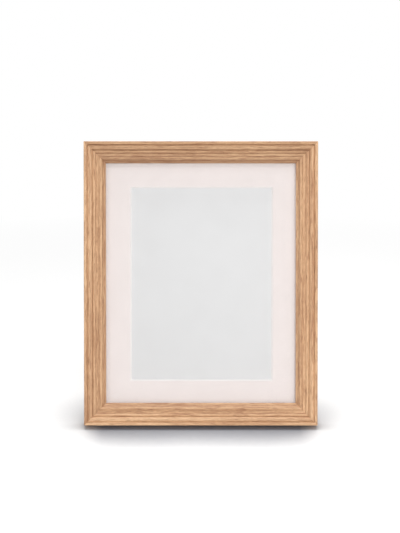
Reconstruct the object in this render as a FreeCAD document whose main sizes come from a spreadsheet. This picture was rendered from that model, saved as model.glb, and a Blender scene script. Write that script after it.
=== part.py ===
# Certificate frame: an oak moulding round a 10 x 8 in glass, with a window mat for an 8 x 6 in
# certificate, leaning back on the easel strut of its board. Millimetres and degrees.
#
# Each piece is drawn upright: X runs across the frame to the right as its front is seen, Y
# runs to the back from the plane of the frame's back, and Z runs up from its bottom edge.
# One lean about the bottom back edge then tips every piece onto the strut.
import FreeCAD, Part
import os

import Sketcher
from FreeCAD import Vector

doc = FreeCAD.newDocument("certificate_frame")
sheet = doc.addObject("Spreadsheet::Sheet", "dims")
calc = doc.addObject("App::VarSet", "calc")

driving_sizes = {
    # The glass and what lies behind it
    "glass_width": 203.2,
    "glass_height": 254.0,
    "glass_thick": 2.0,
    "mat_thick": 1.4,
    "mat_bevel_angle": 45.0,
    "print_width": 152.4,
    "print_height": 203.2,
    "print_thick": 0.3,
    "print_overlap_sides": 5.2,
    "print_overlap_ends": 4.2,
    "card_thick": 1.2,
    "board_thick": 3.0,
    # The play round the glass: it rests on the bottom rail and lies a little to the right
    "pack_play": 0.8,
    "pack_shift": 0.7,
    # The oak moulding
    "rail_width": 22.7,
    "rail_depth": 19.0,
    "sight_overlap": 6.3,
    "sight_lip": 2.5,
    "edge_round": 0.8,
    # The steel V nails that pull the mitres together
    "nail_leg": 6.0,
    "nail_thick": 0.5,
    "nail_height": 8.0,
    "nail_inset": 3.0,
    "nail_pitch": 5.5,
    # The turn buttons and their screws
    "button_length": 24.0,
    "button_width": 8.0,
    "button_thick": 1.0,
    "button_pivot": 5.0,
    "button_lift": 0.15,
    "button_spread_short": 62.0,
    "button_spread_long": 72.0,
    "screw_radius": 1.4,
    "screw_fit": 0.08,
    "screw_length": 11.0,
    "screw_tip": 2.5,
    "screw_head_radius": 3.0,
    "screw_head_height": 1.7,
    "screw_head_gap": 0.1,
    "screw_slot_length": 3.4,
    "screw_slot_width": 0.8,
    "screw_slot_depth": 0.9,
    # The easel strut
    "lean": 14.0,
    "strut_opening": 23.0,
    "hinge_height": 190.0,
    "strut_thick": 3.0,
    "strut_foot_width": 62.0,
    "strut_foot_round": 4.0,
    "horn_width": 8.0,
    "horn_height": 7.0,
    "horn_gap": 0.05,
    # The strut's hinge
    "hinge_width": 30.0,
    "hinge_notch_gap": 1.0,
    "leaf_length": 16.0,
    "leaf_thick": 0.8,
    "leaf_round": 2.5,
    "knuckle_length": 14.0,
    "knuckle_gap": 0.3,
    "barrel_gap": 0.3,
    "pin_radius": 0.8,
    "pin_fit": 0.05,
    "pin_head_radius": 1.3,
    "pin_head_thick": 0.5,
    # The rivets
    "rivet_radius": 1.5,
    "rivet_head_radius": 3.0,
    "rivet_head_height": 1.0,
    "rivet_flare": 0.6,
    "rivet_flare_angle": 45.0,
    "hinge_rivet_spread": 9.0,
    "hinge_rivet_drop": 10.0,
    "strap_rivet_drop": 8.0,
    # The two hangers
    "strap_width": 8.0,
    "strap_length": 13.0,
    "strap_thick": 0.8,
    "strap_round": 2.0,
    "strap_gap": 0.1,
    "hanger_inset": 5.0,
    "ring_wire": 0.8,
    "ring_fit": 0.08,
    "ring_reach": 12.0,
    "ring_width": 14.0,
    "ring_corner": 1.6,
    # How far every cutter runs past what it cuts
    "cut_over": 5.0,
}

worked_sizes = {
    "pack_thick": "dims.glass_thick + dims.mat_thick + dims.print_thick + dims.card_thick + dims.board_thick",
    "glass_front": "-calc.pack_thick",
    "mat_front": "calc.glass_front + dims.glass_thick",
    "print_front": "calc.mat_front + dims.mat_thick",
    "card_front": "calc.print_front + dims.print_thick",
    "window_width": "dims.print_width - 2 * dims.print_overlap_sides",
    "window_height": "dims.print_height - 2 * dims.print_overlap_ends",
    "rail_back": "dims.rail_width - dims.sight_overlap - dims.pack_play",
    "border": "calc.rail_back + dims.pack_play",
    "outer_width": "dims.glass_width + 2 * calc.border",
    "outer_height": "dims.glass_height + 2 * calc.border",
    "face_depth": "dims.rail_depth - calc.pack_thick - dims.sight_lip",
    "screw_seat": "dims.button_lift + dims.button_thick + dims.screw_head_gap",
    "barrel_radius": "dims.pin_radius + dims.pin_fit + dims.leaf_thick",
    "pin_lift": "calc.barrel_radius + dims.barrel_gap",
    "notch_half": "dims.hinge_width / 2 + dims.hinge_notch_gap",
    "strut_inner": "dims.leaf_thick - calc.barrel_radius",
    "strut_outer": "calc.strut_inner + dims.strut_thick",
    "splay": "dims.strut_opening - dims.lean",
    "pin_up": "dims.hinge_height * cos(dims.lean) - calc.pin_lift * sin(dims.lean)",
    "strut_reach": "calc.pin_up / cos(calc.splay)",
    "strut_length": "calc.strut_reach + calc.strut_outer * tan(calc.splay)",
    "strap_barrel": "dims.ring_wire + dims.ring_fit + dims.strap_thick",
    "strap_lift": "calc.strap_barrel + dims.strap_gap",
    "front_reach": "(dims.rail_depth - dims.edge_round) * cos(dims.lean)"
                   " + dims.edge_round * (1 - sin(dims.lean))",
    "back_reach": "calc.pin_lift * cos(dims.lean) + dims.hinge_height * sin(dims.lean)"
                  " + calc.strut_outer * cos(calc.splay) + calc.strut_length * sin(calc.splay)",
    "stand_back": "(calc.front_reach - calc.back_reach) / 2",
    "pack_middle": "calc.rail_back + dims.glass_height / 2",
}

# The front of the moulding from its outer edge to the sight edge, as shares of the rail's
# width and of the depth that the face falls through. A row of four ends an arc through the
# point that its last two shares name.
face_shares = (
    (0.128, 0.0),
    (0.141, 0.221),
    (0.154, 0.221),
    (0.370, 0.385, 0.240, 0.135),
    (0.379, 0.500),
    (0.511, 0.535, 0.441, 0.436),
    (0.520, 0.640),
    (0.656, 0.546, 0.599, 0.622),
    (0.665, 0.594),
    (0.806, 0.628, 0.731, 0.505),
    (0.815, 0.767),
    (0.974, 0.954, 0.881, 0.884),
    (1.0, 1.0),
)
# The pan of a screw's head: of its height the top of its side wall and the middle of its
# round, then of its radius that middle and its flat top.
pan_shares = (0.35, 0.82, 0.86, 0.55)
# The dome of a rivet's head: its middle, of the head's height and radius, and its flat top.
dome_shares = (0.69, 0.62, 0.12)


def fill_sheet():
    """Writes the driving sizes, each in a cell with its own alias, and the worked ones."""
    for row, (name, size) in enumerate(driving_sizes.items(), start=1):
        sheet.set(f"A{row}", name)
        sheet.set(f"B{row}", str(size))
        sheet.setAlias(f"B{row}", name)
    doc.recompute()
    for name, text in worked_sizes.items():
        calc.addProperty("App::PropertyFloat", name, "Worked out")
        calc.setExpression(name, text)
        doc.recompute()


def value(text):
    return float(sheet.evalExpression(text))


def new_body(label):
    body = doc.addObject("PartDesign::Body", label)
    body.Label = label
    return body


def new_sketch(body, role, offset=None):
    """A sketch on one of the body's own planes, or set off from it along its normal."""
    plane = next(item for item in body.Origin.OriginFeatures if item.Role == role)
    sketch = body.newObject("Sketcher::SketchObject", body.Label + "_sketch")
    sketch.AttachmentSupport = (plane, [""])
    sketch.MapMode = "FlatFace"
    if offset:
        sketch.setExpression(".AttachmentOffset.Base.z", offset)
    return sketch


def front_sketch(body, depth=None):
    """A sketch seen from the front, with X across and Z up, at a depth along Y."""
    return new_sketch(body, "XZ_Plane", depth and f"-({depth})")


def side_sketch(body):
    """A sketch seen from the right, with Y across and Z up."""
    return new_sketch(body, "YZ_Plane")


def spot(x, y):
    return Vector(value(x), value(y), 0)


def pins(geometry, point, x, y):
    """The rules that hold a point of a sketch at two expressions."""
    rules = []
    for direction, axis, text in (("X", -2, x), ("Y", -1, y)):
        if text == "0":
            rules.append((Sketcher.Constraint("PointOnObject", geometry, point, axis), None))
        else:
            measure = ("Distance" + direction, -1, 1, geometry, point, value(text))
            rules.append((Sketcher.Constraint(*measure), text))
    return rules


def hold(sketch, rules):
    """Adds rules to a sketch, and binds each that has an expression."""
    numbers = sketch.addConstraint([rule for rule, text in rules])
    for number, (rule, text) in zip(numbers, rules):
        if text:
            sketch.setExpression(f"Constraints[{number}]", text)


def outline(sketch, points):
    """A closed outline. A point of four is reached by an arc through its second pair."""
    first = sketch.GeometryCount
    ends = []
    for last, point in zip(points[-1:] + points[:-1], points):
        begin = spot(*last[:2])
        place = spot(*point[:2])
        if len(point) == 2:
            sketch.addGeometry(Part.LineSegment(begin, place))
            ends.append((2, 1))
            continue
        middle = spot(*point[2:])
        # An arc is kept anticlockwise, so one that runs clockwise is drawn from its far end.
        if (middle - begin).cross(place - begin).z > 0:
            sketch.addGeometry(Part.Arc(begin, middle, place))
            ends.append((2, 1))
        else:
            sketch.addGeometry(Part.Arc(place, middle, begin))
            ends.append((1, 2))
    rules = []
    for number, point in enumerate(points):
        after = (number + 1) % len(points)
        joint = (first + number, ends[number][0], first + after, ends[after][1])
        rules += pins(*joint[:2], *point[:2])
        rules.append((Sketcher.Constraint("Coincident", *joint), None))
        if len(point) == 4:
            guide = sketch.addGeometry(Part.Point(spot(*point[2:])), True)
            rules += pins(guide, 1, *point[2:])
            rules.append((Sketcher.Constraint("PointOnObject", guide, 1, joint[0]), None))
    hold(sketch, rules)


def rectangle(sketch, left, bottom, right, top):
    outline(sketch, [(left, bottom), (right, bottom), (right, top), (left, top)])


def circle(sketch, x, y, radius):
    number = sketch.addGeometry(Part.Circle(spot(x, y), Vector(0, 0, 1), value(radius)))
    size = Sketcher.Constraint("Radius", number, value(radius))
    hold(sketch, pins(number, 3, x, y) + [(size, radius)])


def feature(body, kind, sketch):
    item = body.newObject("PartDesign::" + kind, f"{body.Label}_{kind.lower()}")
    item.Profile = (sketch, [""])
    return item


def pad(body, sketch, length, side="One side"):
    """Grows a front sketch towards the front, or a side sketch evenly when side says so."""
    item = feature(body, "Pad", sketch)
    item.SideType = side
    item.setExpression("Length", length)


def cut_through(body, sketch):
    item = feature(body, "Pocket", sketch)
    item.SideType = "Symmetric"
    item.Type = "ThroughAll"


def cut_deep(body, sketch, depth, forwards=False, taper=None):
    """Cuts a front sketch to a depth: towards the back, or forwards, with tapered walls."""
    item = feature(body, "Pocket", sketch)
    item.Type = "Length"
    item.Reversed = forwards
    item.setExpression("Length", depth)
    if taper:
        item.setExpression("TaperAngle", taper)


def spin(body, sketch, role):
    """Turns a sketch round one of the body's own axes."""
    item = feature(body, "Revolution", sketch)
    axis = next(line for line in body.Origin.OriginFeatures if line.Role == role)
    item.ReferenceAxis = (axis, [""])


def step(x="0", y="0", z="0", turn="0", about="0; 1; 0"):
    """One move of a placement: a turn about an axis, then a shift."""
    return f"placement(vector({x}; {y}; {z}); rotation(vector({about}); {turn}))"


def seat(item, *moves):
    """Binds a piece's placement to the frame's lean and to its own moves in the frame."""
    lean = step(y="calc.stand_back", turn="-dims.lean", about="1; 0; 0")
    item.setExpression("Placement", " * ".join((lean,) + moves))


def group(label, master, places):
    """A node of alike pieces: one master shape, linked to each of its places."""
    links = []
    for number, moves in enumerate(places, start=1):
        link = doc.addObject("App::Link", f"{label}_{number}")
        link.LinkedObject = master
        link.setExpression("Placement", " * ".join(moves))
        links.append(link)
    compound = doc.addObject("Part::Compound", label)
    compound.Label = label
    compound.Links = links
    seat(compound)
    return compound


# Each rail of the frame: its name, its length, where half its buttons lie from its middle
# and the move that takes it from the bottom to its own side.
rails = (
    ("bottom", "calc.outer_width", "dims.button_spread_short", step()),
    ("top", "calc.outer_width", "dims.button_spread_short", step(z="calc.outer_height", turn="180")),
    ("left", "calc.outer_height", "dims.button_spread_long",
     step(x="-calc.outer_width / 2", z="calc.outer_height / 2", turn="90")),
    ("right", "calc.outer_height", "dims.button_spread_long",
     step(x="calc.outer_width / 2", z="calc.outer_height / 2", turn="-90")),
)
# The two ends of a rail, and the names of the buttons there.
button_ends = {
    "bottom": (("left", "-"), ("right", "")),
    "top": (("right", "-"), ("left", "")),
    "left": (("upper", "-"), ("lower", "")),
    "right": (("lower", "-"), ("upper", "")),
}
nail_insets = ("dims.nail_inset", "dims.nail_inset + dims.nail_pitch")
pilot_height = "calc.rail_back / 2"


def section_points():
    """The moulding's cross-section: Y from the back plane, Z in from the outer edge."""
    front = "-dims.rail_depth"
    shoulder = "dims.edge_round * (1 - cos(45))"
    points = [
        ("0", "0"),
        (f"{front} + dims.edge_round", "0"),
        (front, "dims.edge_round", f"{front} + {shoulder}", shoulder),
    ]
    for shares in face_shares:
        pairs = []
        for across_share, fall_share in zip(shares[::2], shares[1::2]):
            pairs += [f"{front} + calc.face_depth * {fall_share}", f"dims.rail_width * {across_share}"]
        points.append(tuple(pairs))
    points += [
        ("calc.glass_front", "dims.rail_width"),
        ("calc.glass_front", "calc.rail_back"),
        ("0", "calc.rail_back"),
    ]
    return points


def make_rail(side, length, spread, move):
    """A length of moulding, mitred at both ends, with slots for nails and pilot holes."""
    rail = new_body(side + "_rail")
    section = side_sketch(rail)
    outline(section, section_points())
    pad(rail, section, length, "Symmetric")
    far = "dims.rail_width + dims.cut_over"
    half = f"{length} / 2"
    mitres = front_sketch(rail)
    for sign in ("", "-"):
        outline(mitres, [
            (f"{sign}({half} + dims.cut_over)", "-dims.cut_over"),
            (f"{sign}({half} - dims.rail_width - dims.cut_over)", far),
            (f"{sign}({half} + dims.cut_over)", far),
        ])
    cut_through(rail, mitres)
    slots = front_sketch(rail)
    for sign in ("", "-"):
        for inset in nail_insets:
            rectangle(slots, f"{sign}({half} - ({inset}) - dims.nail_leg)", inset,
                      f"{sign}({half} - ({inset}))", f"{inset} + dims.nail_thick")
    cut_deep(rail, slots, "dims.nail_height", forwards=True)
    pilots = front_sketch(rail)
    for sign in ("", "-"):
        circle(pilots, sign + spread, pilot_height, "dims.screw_radius")
    cut_deep(rail, pilots, "dims.screw_length - calc.screw_seat", forwards=True)
    seat(rail, move)
    return rail


def make_nails():
    """The V nails: two across each mitre, driven in from the back."""
    nail = new_body("v_nail")
    shape = front_sketch(nail)
    outline(shape, [
        ("0", "0"),
        ("dims.nail_leg", "0"),
        ("dims.nail_leg", "dims.nail_thick"),
        ("dims.nail_thick", "dims.nail_thick"),
        ("dims.nail_thick", "dims.nail_leg"),
        ("0", "dims.nail_leg"),
    ])
    pad(nail, shape, "dims.nail_height")
    corners = (
        step(x="-calc.outer_width / 2"),
        step(x="calc.outer_width / 2", turn="-90"),
        step(x="calc.outer_width / 2", z="calc.outer_height", turn="180"),
        step(x="-calc.outer_width / 2", z="calc.outer_height", turn="90"),
    )
    places = [(corner, step(x=inset, z=inset)) for corner in corners for inset in nail_insets]
    return group("corner_v_nails", nail, places)


def make_flat(label, width, height, thick, front):
    """A flat sheet in the middle of the pack, with its front at a depth along Y."""
    flat = doc.addObject("Part::Box", label)
    flat.Label = label
    flat.setExpression("Length", width)
    flat.setExpression("Width", thick)
    flat.setExpression("Height", height)
    seat(flat, step(x=f"dims.pack_shift - {width} / 2", y=front, z=f"calc.pack_middle - {height} / 2"))
    return flat


def make_mat():
    """The window mat: its opening is cut at a bevel that widens to the front."""
    mat = new_body("window_mat")
    face = front_sketch(mat)
    rectangle(face, "-dims.glass_width / 2", "-dims.glass_height / 2",
              "dims.glass_width / 2", "dims.glass_height / 2")
    pad(mat, face, "dims.mat_thick")
    window = front_sketch(mat)
    rectangle(window, "-calc.window_width / 2", "-calc.window_height / 2",
              "calc.window_width / 2", "calc.window_height / 2")
    cut_deep(mat, window, "dims.mat_thick", forwards=True, taper="dims.mat_bevel_angle")
    seat(mat, step(x="dims.pack_shift", y="calc.print_front", z="calc.pack_middle"))
    return mat


# The heights and places of the fittings on the board, and their moves in the frame. Each
# fitting pivots on X at its own origin, with its plate running down from there.
portrait_height = "calc.outer_height - calc.border - dims.hanger_inset"
landscape_across = "dims.glass_width / 2 - dims.hanger_inset"
pin_place = step(y="calc.pin_lift", z="dims.hinge_height")
portrait_place = step(y="calc.strap_lift", z=portrait_height)
landscape_place = step(x=landscape_across, y="calc.strap_lift", z="calc.outer_height / 2", turn="90")
opened = step(turn="dims.strut_opening", about="1; 0; 0")
upside_down = step(turn="180")
# How each ring hangs while the frame leans: straight down, and straight out from the board.
hanging_down = step(turn="dims.lean", about="1; 0; 0")
hanging_out = step(turn="90", about="1; 0; 0")

leaf_rivets = (("-dims.hinge_rivet_spread", "-dims.hinge_rivet_drop"),
               ("dims.hinge_rivet_spread", "-dims.hinge_rivet_drop"))
leaf_form = {
    "width": "dims.hinge_width",
    "length": "dims.leaf_length",
    "thick": "dims.leaf_thick",
    "round": "dims.leaf_round",
    "barrel": "calc.barrel_radius",
    "bore": "dims.pin_radius + dims.pin_fit",
    "rivets": leaf_rivets,
}
strap_form = {
    "width": "dims.strap_width",
    "length": "dims.strap_length",
    "thick": "dims.strap_thick",
    "round": "dims.strap_round",
    "barrel": "calc.strap_barrel",
    "bore": "dims.ring_wire + dims.ring_fit",
    "rivets": (("0", "-dims.strap_rivet_drop"),),
}


def rivet_holes(body, rivets, tail_side=None):
    """Holes for rivets, flared at the face along Y where their tails lie, if it is named."""
    shanks = front_sketch(body)
    for x, z in rivets:
        circle(shanks, x, z, "dims.rivet_radius")
    cut_through(body, shanks)
    if tail_side:
        flares = front_sketch(body, tail_side)
        for x, z in rivets:
            circle(flares, x, z, "dims.rivet_radius + dims.rivet_flare")
        cut_deep(body, flares, "dims.rivet_flare", taper="-dims.rivet_flare_angle")


def make_rivet(label, grip):
    """A rivet along Y: its domed head sits at the origin, and its flared tail is flush."""
    rivet = new_body(label)
    section = side_sketch(rivet)
    outline(section, [
        (f"-({grip})", "0"),
        ("dims.rivet_head_height", "0"),
        ("dims.rivet_head_height", f"dims.rivet_head_radius * {dome_shares[2]}"),
        ("0", "dims.rivet_head_radius",
         f"dims.rivet_head_height * {dome_shares[0]}", f"dims.rivet_head_radius * {dome_shares[1]}"),
        ("0", "dims.rivet_radius"),
        (f"dims.rivet_flare / tan(dims.rivet_flare_angle) - ({grip})", "dims.rivet_radius"),
        (f"-({grip})", "dims.rivet_radius + dims.rivet_flare"),
    ])
    spin(rivet, section, "Y_Axis")
    return rivet


def make_board():
    """The backing board, with the holes of the rivets that hold its fittings."""
    board = new_body("backing_board")
    face = front_sketch(board)
    rectangle(face, "dims.pack_shift - dims.glass_width / 2", "calc.rail_back",
              "dims.pack_shift + dims.glass_width / 2", "calc.rail_back + dims.glass_height")
    pad(board, face, "dims.board_thick")
    rivet_holes(board, board_rivets() + portrait_rivets() + landscape_rivets(), "-dims.board_thick")
    seat(board)
    return board


def board_rivets():
    """Where the hinge leaf on the board is riveted: its plate runs up from the pin."""
    return [(x, f"dims.hinge_height - ({z})") for x, z in leaf_rivets]


def portrait_rivets():
    return [("0", f"{portrait_height} - dims.strap_rivet_drop")]


def landscape_rivets():
    return [(f"{landscape_across} - dims.strap_rivet_drop", "calc.outer_height / 2")]


def make_leaf(label, form, plate_side, bands, *moves):
    """A stamped plate rolled round a barrel. The bands of X are cut out beside its knuckles."""
    leaf = new_body(label)
    barrel = side_sketch(leaf)
    circle(barrel, "0", "0", form["barrel"])
    pad(leaf, barrel, form["width"], "Symmetric")
    half = form["width"] + " / 2"
    low = "-" + form["length"]
    curve = form["round"]
    inset = f"{curve} * (1 - cos(45))"
    plate = front_sketch(leaf, f"{plate_side} + {form['thick']}")
    outline(plate, [
        (f"-{half}", "0"),
        (f"-{half}", f"{low} + {curve}"),
        (f"-{half} + {curve}", low, f"-{half} + {inset}", f"{low} + {inset}"),
        (f"{half} - {curve}", low),
        (half, f"{low} + {curve}", f"{half} - {inset}", f"{low} + {inset}"),
        (half, "0"),
    ])
    pad(leaf, plate, form["thick"])
    bore = side_sketch(leaf)
    circle(bore, "0", "0", form["bore"])
    cut_through(leaf, bore)
    if bands:
        gaps = front_sketch(leaf)
        reach = f"({form['barrel']} + dims.knuckle_gap)"
        for left, right in bands:
            rectangle(gaps, left, f"-{reach}", right, reach)
        cut_through(leaf, gaps)
    rivet_holes(leaf, form["rivets"], plate_side)
    seat(leaf, *moves)
    return leaf


def make_hinge_pin():
    """The hinge's pin, with a peened head past each end of the barrel."""
    rod = new_body("strut_hinge_pin")
    half = "dims.hinge_width / 2"
    section = front_sketch(rod)
    outline(section, [
        (f"-{half} - dims.pin_head_thick", "0"),
        (f"-{half} - dims.pin_head_thick", "dims.pin_head_radius"),
        (f"-{half}", "dims.pin_head_radius"),
        (f"-{half}", "dims.pin_radius"),
        (half, "dims.pin_radius"),
        (half, "dims.pin_head_radius"),
        (f"{half} + dims.pin_head_thick", "dims.pin_head_radius"),
        (f"{half} + dims.pin_head_thick", "0"),
    ])
    spin(rod, section, "X_Axis")
    seat(rod, pin_place)
    return rod


def make_strut():
    """The strut: two horns beside the hinge are bevelled to stop flat on the board when it
    is open, and its foot is cut to stand flat on the surface."""
    strut = new_body("easel_strut")
    top_half = "(calc.notch_half + dims.horn_width)"
    notch = "-(calc.barrel_radius + dims.hinge_notch_gap)"
    plate = front_sketch(strut, "calc.strut_outer")
    outline(plate, [
        ("-dims.strut_foot_width / 2", "-calc.strut_length"),
        ("dims.strut_foot_width / 2", "-calc.strut_length"),
        (top_half, "dims.horn_height"),
        ("calc.notch_half", "dims.horn_height"),
        ("calc.notch_half", notch),
        ("-calc.notch_half", notch),
        ("-calc.notch_half", "dims.horn_height"),
        (f"-{top_half}", "dims.horn_height"),
    ])
    pad(strut, plate, "dims.strut_thick")
    doc.recompute()
    low = value("dims.strut_foot_round - calc.strut_length")
    wide = value("dims.strut_foot_width / 2 - dims.strut_foot_round")
    corners = []
    for number, edge in enumerate(strut.Shape.Edges, start=1):
        centre = edge.CenterOfMass
        if centre.z < low and abs(centre.x) > wide:
            corners.append(f"Edge{number}")
    blank = strut.Tip
    curve = strut.newObject("PartDesign::Fillet", "foot_corners")
    curve.Base = (blank, corners)
    curve.setExpression("Radius", "dims.strut_foot_round")
    stop = "(calc.pin_lift - dims.horn_gap)"
    high = "dims.horn_height + dims.cut_over"
    clear = "-(calc.pin_lift + dims.cut_over)"
    bevel = side_sketch(strut)
    outline(bevel, [
        (f"-{stop} / cos(dims.strut_opening)", "0"),
        (f"(({high}) * sin(dims.strut_opening) - {stop}) / cos(dims.strut_opening)", high),
        (clear, high),
        (clear, "0"),
    ])
    cut_through(strut, bevel)
    inner = "(calc.strut_inner - dims.cut_over)"
    outer = "(calc.strut_outer + dims.cut_over)"
    below = "-calc.strut_length - dims.cut_over"
    foot = side_sketch(strut)
    outline(foot, [
        (inner, f"-calc.strut_reach - {inner} * tan(calc.splay)"),
        (inner, below),
        (outer, below),
        (outer, f"-calc.strut_reach - {outer} * tan(calc.splay)"),
    ])
    cut_through(strut, foot)
    rivet_holes(strut, leaf_rivets)
    seat(strut, pin_place, opened)
    return strut


def make_ring(label, *moves):
    """A wire D: its straight bar is the pivot and its loop hangs down from there."""
    loop = new_body(label)
    half = "dims.ring_width / 2"
    curve = "dims.ring_corner"
    inset = f"{curve} * (1 - cos(45))"
    turn_down = f"{half} - dims.ring_reach"
    path = front_sketch(loop)
    outline(path, [
        (f"-{half} + {curve}", "0", f"-{half} + {inset}", f"-{inset}"),
        (f"{half} - {curve}", "0"),
        (half, f"-{curve}", f"{half} - {inset}", f"-{inset}"),
        (half, turn_down),
        (f"-{half}", turn_down, "0", "-dims.ring_reach"),
        (f"-{half}", f"-{curve}"),
    ])
    wire = side_sketch(loop)
    circle(wire, "0", "0", "dims.ring_wire")
    pipe = feature(loop, "AdditivePipe", wire)
    pipe.Spine = (path, [""])
    seat(loop, *moves)
    return loop


def make_screw():
    """A pan-head wood screw along Y with a cross slot, its head's underside at the origin."""
    screw = new_body("turn_button_screw")
    section = side_sketch(screw)
    outline(section, [
        ("-dims.screw_length", "0"),
        ("dims.screw_tip - dims.screw_length", "dims.screw_radius"),
        ("0", "dims.screw_radius"),
        ("0", "dims.screw_head_radius"),
        (f"dims.screw_head_height * {pan_shares[0]}", "dims.screw_head_radius"),
        ("dims.screw_head_height", f"dims.screw_head_radius * {pan_shares[3]}",
         f"dims.screw_head_height * {pan_shares[1]}", f"dims.screw_head_radius * {pan_shares[2]}"),
        ("dims.screw_head_height", "0"),
    ])
    spin(screw, section, "Y_Axis")
    far = "dims.screw_slot_length / 2"
    near = "dims.screw_slot_width / 2"
    points = []
    for across, up in (("", ""), ("", "-"), ("-", "-"), ("-", "")):
        arm = [(across + near, up + far), (across + near, up + near), (across + far, up + near)]
        points += arm if across == up else arm[::-1]
    slot = front_sketch(screw, "dims.screw_head_height")
    outline(slot, points)
    cut_deep(screw, slot, "dims.screw_slot_depth", forwards=True)
    return screw


def make_button(label, *moves):
    """A turn button: a round-ended strip that swivels on its screw near one end."""
    button = new_body(label)
    half = "dims.button_width / 2"
    near = "-dims.button_pivot"
    far = "dims.button_length - dims.button_pivot"
    strip = front_sketch(button, "dims.button_lift + dims.button_thick")
    outline(strip, [
        (half, f"{near} + {half}", "0", near),
        (half, f"{far} - {half}"),
        (f"-{half}", f"{far} - {half}", "0", far),
        (f"-{half}", f"{near} + {half}"),
    ])
    pad(button, strip, "dims.button_thick")
    hole = front_sketch(button)
    circle(hole, "0", "0", "dims.screw_radius + dims.screw_fit")
    cut_through(button, hole)
    seat(button, *moves)
    return button


def make_frame():
    """The four rails and the nails in their mitres."""
    pieces = [make_rail(*rail) for rail in rails]
    return pieces + [make_nails()]


def make_pack():
    """What the rebate holds, from the glass to the backing board."""
    return [
        make_flat("glazing_pane", "dims.glass_width", "dims.glass_height", "dims.glass_thick",
                  "calc.glass_front"),
        make_mat(),
        make_flat("certificate_sheet", "dims.print_width", "dims.print_height",
                  "dims.print_thick", "calc.print_front"),
        make_flat("filler_card", "dims.glass_width", "dims.glass_height", "dims.card_thick",
                  "calc.card_front"),
        make_board(),
    ]


def make_buttons():
    """The turn buttons, two to a rail, and the screws that they swivel on."""
    pieces = []
    screws = []
    for side, length, spread, move in rails:
        for end, sign in button_ends[side]:
            pivot = step(x=sign + spread, z=pilot_height)
            pieces.append(make_button(f"turn_button_{side}_{end}", move, pivot))
            screws.append((move, step(x=sign + spread, y="calc.screw_seat", z=pilot_height)))
    return pieces + [group("turn_button_screws", make_screw(), screws)]


def make_easel():
    """The strut, its hinge and the rivets that hold the hinge's two leaves."""
    half = "dims.knuckle_length / 2"
    end = "dims.hinge_width / 2 + dims.cut_over"
    middle = ((f"-{half} - dims.knuckle_gap", f"{half} + dims.knuckle_gap"),)
    sides = ((f"-({end})", f"-{half}"), (half, end))
    fixed = make_rivet("fixed_rivet", "dims.leaf_thick + dims.board_thick")
    swung = make_rivet("swung_rivet", "dims.leaf_thick + dims.strut_thick")
    return [
        make_leaf("hinge_board_leaf", leaf_form, "-calc.pin_lift", middle, pin_place, upside_down),
        make_leaf("hinge_strut_leaf", leaf_form, "-calc.barrel_radius", sides, pin_place, opened),
        make_hinge_pin(),
        make_strut(),
        group("board_leaf_rivets", fixed,
              [(step(x=x, y="dims.leaf_thick", z=z),) for x, z in board_rivets()]),
        group("strut_leaf_rivets", swung,
              [(pin_place, opened, step(x=x, y="calc.strut_outer", z=z)) for x, z in leaf_rivets]),
    ]


def make_hangers():
    """The hangers for either way up: a riveted strap each, with its ring."""
    rivet = make_rivet("hanger_rivet", "dims.strap_thick + dims.board_thick")
    spots = portrait_rivets() + landscape_rivets()
    return [
        make_leaf("portrait_hanger_strap", strap_form, "-calc.strap_lift", (), portrait_place),
        make_ring("portrait_hanger_ring", portrait_place, hanging_down),
        make_leaf("landscape_hanger_strap", strap_form, "-calc.strap_lift", (), landscape_place),
        make_ring("landscape_hanger_ring", landscape_place, hanging_out),
        group("hanger_rivets", rivet, [(step(x=x, y="dims.strap_thick", z=z),) for x, z in spots]),
    ]


def check(pieces):
    """Stops the script when any object failed, or any piece has no sound shape."""
    doc.recompute()
    for item in doc.Objects:
        if "Invalid" in item.State or "Error" in item.State:
            raise RuntimeError(f"{item.Label} failed: {item.State}")
    for piece in pieces:
        if piece.Shape.isNull() or not piece.Shape.isValid():
            raise RuntimeError(f"{piece.Label} has no sound shape")


fill_sheet()
nodes = make_frame() + make_pack() + make_buttons() + make_easel() + make_hangers()
check(nodes)
os.makedirs("parts", exist_ok=True)
for node in nodes:
    node.Shape.exportStep(os.path.join("parts", node.Label + ".step"))
    print(f"{node.Label}: {len(node.Shape.Solids)} solids, {node.Shape.Volume:.1f} mm3")
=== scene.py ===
import math
import bmesh
import bpy
from mathutils import Matrix, Vector


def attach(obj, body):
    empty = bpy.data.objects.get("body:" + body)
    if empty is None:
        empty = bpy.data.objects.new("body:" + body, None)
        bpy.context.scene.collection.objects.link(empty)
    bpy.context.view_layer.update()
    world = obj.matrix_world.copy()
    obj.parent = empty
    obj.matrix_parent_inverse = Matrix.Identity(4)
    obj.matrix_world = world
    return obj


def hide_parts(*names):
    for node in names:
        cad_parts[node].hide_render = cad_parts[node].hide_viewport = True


# Certificate frame in oak, seen from the front as it leans on its easel strut.
# The pieces are made upright in mm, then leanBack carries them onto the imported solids.
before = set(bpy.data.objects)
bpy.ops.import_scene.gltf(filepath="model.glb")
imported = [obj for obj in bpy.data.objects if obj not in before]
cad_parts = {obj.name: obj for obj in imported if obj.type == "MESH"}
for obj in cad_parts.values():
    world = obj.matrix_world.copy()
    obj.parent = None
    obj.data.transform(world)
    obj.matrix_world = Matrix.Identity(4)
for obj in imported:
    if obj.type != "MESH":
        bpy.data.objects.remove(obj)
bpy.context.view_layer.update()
mm = 0.001

stand = {"lean": 14.0, "back": -30.4463, "strutOpen": 23.0, "hingeHeight": 190.0, "pinLift": 1.95}
outer = {"width": 236.0, "height": 286.8}
leanBack = (Matrix.Translation((0, stand["back"] * mm, 0))
            @ Matrix.Rotation(math.radians(-stand["lean"]), 4, "X") @ Matrix.Scale(mm, 4))


# Small helpers for objects, meshes, Geometry Nodes and shader nodes.

def newObject(name, data):
    item = bpy.data.objects.new(name, data)
    bpy.context.scene.collection.objects.link(item)
    return item


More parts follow.
